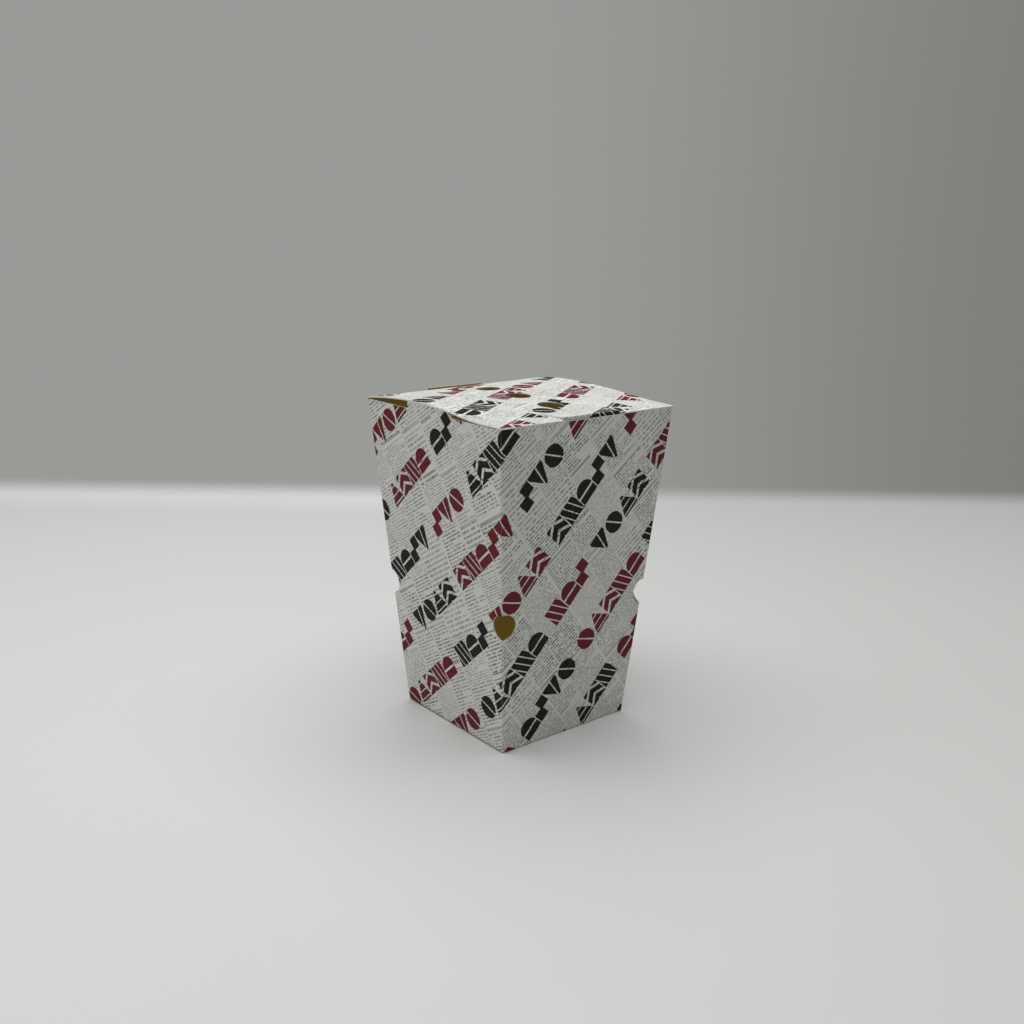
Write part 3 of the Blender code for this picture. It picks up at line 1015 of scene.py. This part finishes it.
# %% Tree: fold the lid
def make_lid_tree():
    tree, given, end = new_tree("GeometryNodeTree", "fold the lid",
                                [("Sheet", "Geometry"),
                                 ("Thickness", "Float", BOARD),
                                 ("Vent diameter", "Float", VENT_DIAMETER),
                                 ("Vent pitch", "Float", LID_VENT_PITCH),
                                 ("Fold radius", "Float", FOLD_RADIUS),
                                 ("Lean", "Float", FLAP_LEAN)],
                                [("Folded", "Geometry")])
    thickness, radius = given["Thickness"], given["Fold radius"]
    pitch = given["Vent pitch"]
    line = add_node(tree, "GeometryNodeMeshLine", Count=3,
                    Start_Location=join(tree, y=pitch * -1 + HINGE.y), Offset=join(tree, y=pitch))
    board = out(place_group(tree, cut_board, Sheet=given["Sheet"], Vents=out(line),
                            Thickness=thickness, Vent_diameter=given["Vent diameter"]))

    s, v, z = split(tree, out(add_node(tree, "GeometryNodeInputPosition")))
    x = s * -1
    above = thickness - board_depth(tree, z, thickness)
    in_flap = abs(x) < TAB_HALF + SLIT / 2
    furthest = in_flap * (FOLD_START + RIM_HALF) - RIM_HALF
    y = (HINGE.y - v).math('MAXIMUM', furthest)
    full_turn = given["Lean"] + QUARTER_TURN
    bent = (v - TO_FOLD).math('MAXIMUM', 0.0) * in_flap
    turn = (bent / (radius + thickness / 2)).math('MINIMUM', full_turn)
    below = (bent - full_turn * (radius + thickness / 2)).math('MAXIMUM', 0.0)
    reach = radius + above * turn.sin().math('MAXIMUM', turn.cos()) ** -CRISPNESS
    positions = join(tree, x, y - reach * turn.sin() + below * given["Lean"].sin(),
                     lid_underside(x, y) - radius + reach * turn.cos()
                     - below * given["Lean"].cos())
    crease = abs(v).math('MINIMUM', abs(v - TO_FOLD - FOLD_LENGTH / 2) + (1 - in_flap))
    finish_fold(tree, end, board, positions, crease)
    return tree


lid_sheet = flat_sheet("lid_board", lid_columns(), LID_ZONES, lid_point, lid_has, lid_bead)
lid_tree = make_lid_tree()
lid_board = run_tree(lid_sheet, lid_tree, {"Thickness": LID_BOARD, "Lean": FLAP_LEAN})
print("lid", len(lid_board.data.polygons), "faces,",
      [round(size / MM, 1) for size in lid_board.dimensions], "mm")


# %% Carrying the print over from the hinge wall
def carry_print_over(piece):
    """Turn the lid's flat coordinates to where the hinge wall's end on the fan."""
    for spot in piece.data.uv_layers["blank"].data:
        spot.uv = fan_point(WALLS["hinge"], spot.uv.x, SLANT + TO_AXIS + spot.uv.y)


carry_print_over(lid_board)
print("the lid's print goes on from", round((SLANT + TO_AXIS) / MM, 2), "mm up the hinge wall")

# %% [markdown]
# ## Putting the pieces on the frame
# Each folded sheet stands for one solid of the frame and rides on that solid's body, so the lid
# swings about its crease and the carton stays put.

# %% Pieces on their bodies
for piece, node, slot in ((carton_board, "carton", "printed_board"),
                          (lid_board, "lid", "printed_lid_board")):
    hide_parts(node)
    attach(piece, node)
    print(piece.name, "stands for", node)

# %% [markdown]
# ## Floor, light and camera
# A pale floor that ends a short way behind the box and fades out softly there, like a sheet of
# paper that curves away, a grey surround, and a large soft light overhead: the lid and the floor
# are bright, and the walls get most of their light from the floor. A weaker light from the side
# keeps the left wall a little brighter than the front one. The floor's colour also holds painted
# shade, darker to the right, and a painted pool of light near its far left edge. The grey backdrop
# that the camera sees is painted darker to the right, as painted shade.

# %% Floor
def make_floor():
    bm = bmesh.new()
    bmesh.ops.create_grid(bm, x_segments=8, y_segments=8, size=1.0)
    mesh = bpy.data.meshes.new("floor")
    bm.to_mesh(mesh)
    bm.free()
    floor = bpy.data.objects.new("floor", mesh)
    bpy.context.scene.collection.objects.link(floor)
    return floor


VIEW_SIDE = math.radians(-39.476)
BACK_EDGE = 0.485
UNDER_BASE = 0.02 * MM          # keeps the floor and the base from sharing one plane
floor = make_floor()
away = Vector((-math.sin(VIEW_SIDE), math.cos(VIEW_SIDE), 0.0))
just_below = Vector((0.0, 0.0, -UNDER_BASE))
floor.data.transform(Matrix.Translation(away * (BACK_EDGE - 1.0) + just_below)
                     @ Matrix.Rotation(VIEW_SIDE, 4, 'Z'))
print("floor", [round(size, 2) for size in floor.dimensions], "m")

# %% The floor's finish
FADE_START, FADE_END = 0.405, 0.475
# Painted shade: the floor's colour is darker to the right of the box.
FLOOR_LIT_LEFT, FLOOR_SHADED_RIGHT, SIDE_REACH = (0.785, 0.79, 0.785), (0.71, 0.725, 0.70), 0.25
# Painted light: a lighter band near the floor's far edge, on the left.
PAINTED_POOL_COLOUR, PAINTED_POOL_STRENGTH, PAINTED_POOL_REACH = (0.95, 0.95, 0.95), 0.6, 0.15
PAINTED_POOL_START, PAINTED_POOL_END = 0.35, 0.41


def rightward(east, north):
    """Distance to the right of the box, for someone who faces its front corner."""
    return east * math.cos(VIEW_SIDE) + north * math.sin(VIEW_SIDE)


def make_floor_finish():
    """A matt floor that fades out at its far edge, painted darker to the right as shade, with a
    painted pool of light at the far left.
    """
    material, tree, shader = new_finish("pale floor")
    east, north, _ = split(tree, object_place(tree))
    back = north * math.cos(VIEW_SIDE) - east * math.sin(VIEW_SIDE)
    right = rightward(east, north)
    # Painted shade and light: the floor darkens to the right, and a pool of light near the far
    # left is painted in.
    tone = mix(tree, ramp(right, -SIDE_REACH, SIDE_REACH), rgba(FLOOR_LIT_LEFT), rgba(FLOOR_SHADED_RIGHT))
    painted_pool = ramp(back, PAINTED_POOL_START, PAINTED_POOL_END) \
        * (1 - ramp(right, -PAINTED_POOL_REACH, PAINTED_POOL_REACH)) * PAINTED_POOL_STRENGTH
    feed(shader.inputs["Base Color"], mix(tree, painted_pool, tone, rgba(PAINTED_POOL_COLOUR)))
    feed(shader.inputs["Alpha"], 1 - ramp(back, FADE_START, FADE_END))
    shader.inputs["Roughness"].default_value = 0.6
    return material


floor.data.materials.append(make_floor_finish())
print("floor fades from", FADE_START, "to", FADE_END, "m behind the box")


# %% Lights
def area_light(name, place, size, power):
    lamp = bpy.data.lights.new(name, 'AREA')
    lamp.shape = 'SQUARE'
    lamp.size = size
    lamp.energy = power
    item = bpy.data.objects.new(name, lamp)
    item.location = place
    item.rotation_euler = (-Vector(place)).to_track_quat('-Z', 'Y').to_euler()
    bpy.context.scene.collection.objects.link(item)
    print(name, "light,", power, "W from", place)


area_light("overhead", place=(-0.01, 0.05, 1.1), size=1.3, power=13.2)
area_light("side", place=(-0.95, 0.78, 0.5), size=1.0, power=2.1)

# %% Surround
SHADE = (0.088, 0.088, 0.088)       # what the surround sheds on the box
# Painted shade: the backdrop that the camera sees is lighter on the left and darker to the right.
BACKDROP_LIT_LEFT, BACKDROP_SHADED_RIGHT = (0.322, 0.329, 0.315), (0.200, 0.207, 0.195)
BACKDROP_TURN = 0.45                # where the backdrop begins to darken, from 0 left to 1 right

world = bpy.data.worlds.new("surround")
bpy.context.scene.world = world
world.use_nodes = True
surround = world.node_tree
seen = out(add_node(surround, "ShaderNodeLightPath"), "Is Camera Ray")
east, north, _ = split(surround, out(add_node(surround, "ShaderNodeTexCoord"), "Generated"))
# Painted shade on the backdrop, darkening towards the right.
backdrop = mix(surround, ramp((rightward(east, north) + 0.5).clamp(), BACKDROP_TURN, 1.0),
               rgba(BACKDROP_LIT_LEFT), rgba(BACKDROP_SHADED_RIGHT))
light = mix(surround, seen, rgba(SHADE), backdrop)
feed(surround.nodes["Background"].inputs["Color"], light)
bpy.context.scene.view_settings.view_transform = 'Standard'
print("surround with", len(surround.nodes), "nodes")

# %% [markdown]
# The camera stands where it sees the front and left walls about equally, a little above the rim,
# so the lid shows as a narrow strip with its vents.

# %% Camera
CAMERA_DISTANCE = 0.50027
CAMERA_HEIGHT = 0.23062
YAW = math.radians(0.264)
PITCH = math.radians(14.838)
ROLL = math.radians(0.678)
LENS, SENSOR = 38.67, 36.0      # both in mm


def make_camera():
    camera = bpy.data.objects.new("camera", bpy.data.cameras.new("camera"))
    camera.data.lens = LENS
    camera.data.sensor_width = SENSOR
    place = Vector((CAMERA_DISTANCE * math.sin(VIEW_SIDE), -CAMERA_DISTANCE * math.cos(VIEW_SIDE),
                    CAMERA_HEIGHT))
    heading = VIEW_SIDE + YAW
    forward = Vector((-math.sin(heading) * math.cos(PITCH), math.cos(heading) * math.cos(PITCH),
                      -math.sin(PITCH)))
    level = forward.cross(Vector((0, 0, 1))).normalized()
    upright = level.cross(forward)
    right = level * math.cos(ROLL) + upright * math.sin(ROLL)
    top = upright * math.cos(ROLL) - level * math.sin(ROLL)
    turn = Matrix((right, top, -forward)).transposed().to_4x4()
    camera.matrix_world = Matrix.Translation(place) @ turn
    bpy.context.scene.collection.objects.link(camera)
    bpy.context.scene.camera = camera
    return camera


camera = make_camera()
print("camera at", [round(place, 3) for place in camera.matrix_world.translation])
